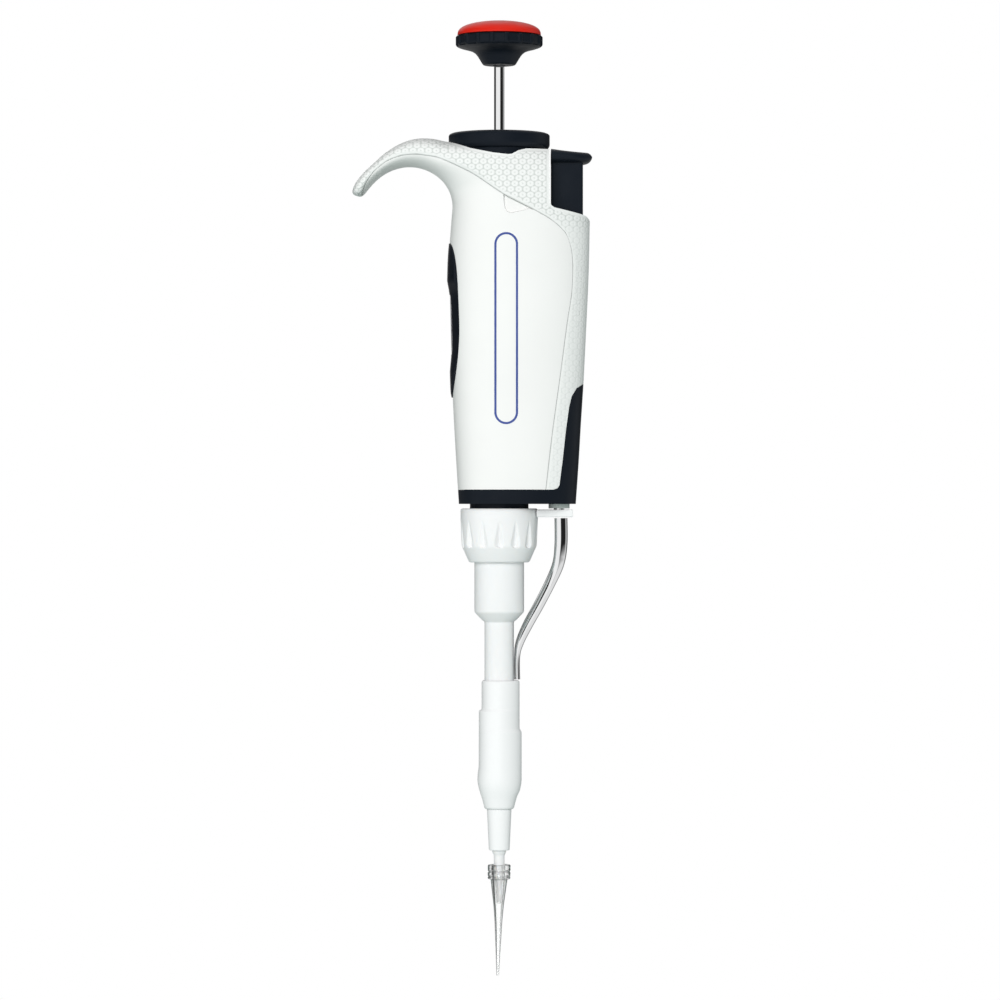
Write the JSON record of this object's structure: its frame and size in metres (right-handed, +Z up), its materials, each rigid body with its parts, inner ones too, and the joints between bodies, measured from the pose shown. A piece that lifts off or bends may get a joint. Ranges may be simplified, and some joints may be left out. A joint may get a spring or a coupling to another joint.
{
  "type": "adjustable micropipette",
  "caption": "Hand-held adjustable air-displacement micropipette with finger hook, volume ring and window, plunger button, tip ejector and a small clear tip.",
  "frame": {"origin": "on the plunger axis at the middle of the hand grip, 190 mm above the end of the fitted tip", "axes": "+Z up along the plunger axis towards the push button, -X towards the finger hook and the volume window, +X towards the tip ejector, Y across the handle, which is symmetric about Y = 0"},
  "size_m": [0.0693, 0.0304, 0.2765],
  "materials": {
    "smooth_white": "satin",
    "textured_white": "fine raised texture",
    "nose_white": "satin",
    "seal_white": "smooth",
    "black": "satin",
    "drum_black": "matte",
    "grey": "matte",
    "red": "gloss",
    "clear": "clear",
    "rubber": "matte",
    "steel": "polished",
    "brass": "machined"
  },
  "bodies": {
    "handle": {"front_shell": "smooth_white", "rear_shell": "textured_white", "base_cover": "black", "window_bezel": "black", "window_lens": "clear", "mechanism_frame": "grey", "top_bearing": "brass", "lower_bearing": "brass", "coupling_neck": "black", "blowout_plate": "steel", "blowout_spring": "steel", "ejector_bush": "grey", "tip_holder": "nose_white", "piston_seal": "seal_white", "seal_oring": "rubber", "spring_washer": "grey", "return_spring": "steel", "ejector_spring": "steel"},
    "ring": {"adjusting_ring": "black", "drive_sleeve": "steel"},
    "stop": {"stop_nut": "brass"},
    "plunger": {"piston_head": "grey", "piston": "steel"},
    "button": {"push_button": "black", "button_cap": "red", "plunger_rod": "steel", "stop_collar": "steel"},
    "hundreds": {"drum_hundreds": "drum_black"},
    "tens": {"drum_tens": "drum_black"},
    "units": {"drum_units": "drum_black"},
    "ejector": {"ejector_button": "black", "ejector_pushrod": "steel", "ejector_bracket": "nose_white", "ejector_arm": "steel", "ejector_sleeve": "nose_white", "ejector_tube": "nose_white"},
    "tip": {"disposable_tip": "clear"},
    "nut": {"connecting_nut": "nose_white"}
  },
  "joints": [
    {"name": "ring_turn", "type": "hinge", "parent": "handle", "child": "ring", "pos_m": [0, 0, 0.0514], "axis": [0, 0, 1], "range_deg": [-2160, 0]},
    {"name": "stop_travel", "type": "slide", "parent": "handle", "child": "stop", "axis": [0, 0, 1], "range_m": [-0.006, 0]},
    {"name": "plunger_press", "type": "slide", "parent": "stop", "child": "plunger", "axis": [0, 0, 1], "range_m": [-0.012, 0], "stiffness_N_per_m": 400, "springref_m": 0.004, "deforming": ["return_spring"]},
    {"name": "button_turn", "type": "hinge", "parent": "plunger", "child": "button", "pos_m": [0, 0, 0.08], "axis": [0, 0, 1], "range_deg": [-2160, 0]},
    {"name": "hundreds_turn", "type": "hinge", "parent": "handle", "child": "hundreds", "pos_m": [0, 0, 0.0044], "axis": [0, 0, 1], "range_deg": [-21.6, 0]},
    {"name": "tens_turn", "type": "hinge", "parent": "handle", "child": "tens", "pos_m": [0, 0, -0.0015], "axis": [0, 0, 1], "range_deg": [-216, 0]},
    {"name": "units_turn", "type": "hinge", "parent": "handle", "child": "units", "pos_m": [0, 0, -0.0074], "axis": [0, 0, 1], "range_deg": [-2160, 0]},
    {"name": "ejector_press", "type": "slide", "parent": "handle", "child": "ejector", "axis": [0, 0, 1], "range_m": [-0.01, 0], "stiffness_N_per_m": 400, "springref_m": 0.003, "deforming": ["ejector_spring"]},
    {"name": "tip_pull_off", "type": "slide", "parent": "ejector", "child": "tip", "axis": [0, 0, 1], "range_m": [-0.035, 0]},
    {"name": "nut_turn", "type": "hinge", "parent": "handle", "child": "nut", "pos_m": [0, 0, -0.0625], "axis": [0, 0, 1], "range_deg": [0, 720]}
  ],
  "couplings": [
    {"joint": "ring_turn", "follows": "stop_travel", "rad_per_m": 6283},
    {"joint": "button_turn", "follows": "stop_travel", "rad_per_m": 6283},
    {"joint": "units_turn", "follows": "stop_travel", "rad_per_m": 6283},
    {"joint": "tens_turn", "follows": "stop_travel", "rad_per_m": 628.3},
    {"joint": "hundreds_turn", "follows": "stop_travel", "rad_per_m": 62.83}
  ]
}
